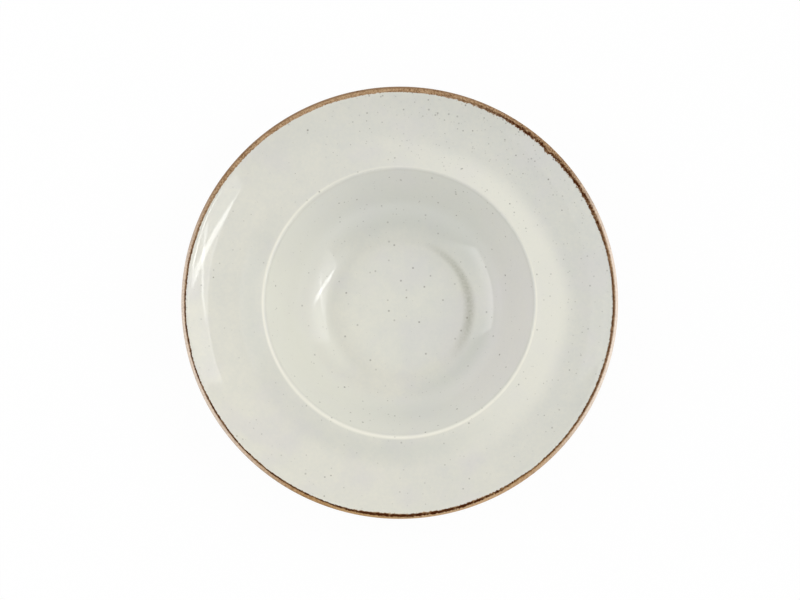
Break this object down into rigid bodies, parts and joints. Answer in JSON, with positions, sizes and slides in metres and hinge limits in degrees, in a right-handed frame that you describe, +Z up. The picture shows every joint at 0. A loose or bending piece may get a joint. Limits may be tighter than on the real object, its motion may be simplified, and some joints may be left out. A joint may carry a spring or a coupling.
{
  "type": "rimmed soup plate",
  "caption": "Round soup plate with a deep well, a wide gently dished rim, speckled pale glaze, a brown edge and a bare foot ring.",
  "frame": {"origin": "middle of the foot ring's resting face, on the plate's axis", "axes": "+Z up along the plate's axis, out of the well; the plate is round, so +X and +Y are arbitrary"},
  "size_m": [0.28, 0.28, 0.0478],
  "materials": {
    "fired_clay": "bare fired stoneware, fine and matt, seen only on the foot ring",
    "speckled_glaze": "glossy pale grey-green cream glaze, softly mottled, with fine grey-brown specks, breaking to cream on the crest",
    "back_glaze": "glossy pale glaze of the same colour, with fewer specks",
    "brown_edge": "glossy hand-brushed brown edge, dark chocolate to caramel"
  },
  "bodies": {
    "root": {"clay_body": "fired_clay", "face_glaze": "speckled_glaze", "back_glaze": "back_glaze", "recess_glaze": "back_glaze", "edge_band": "brown_edge"}
  },
  "joints": []
}
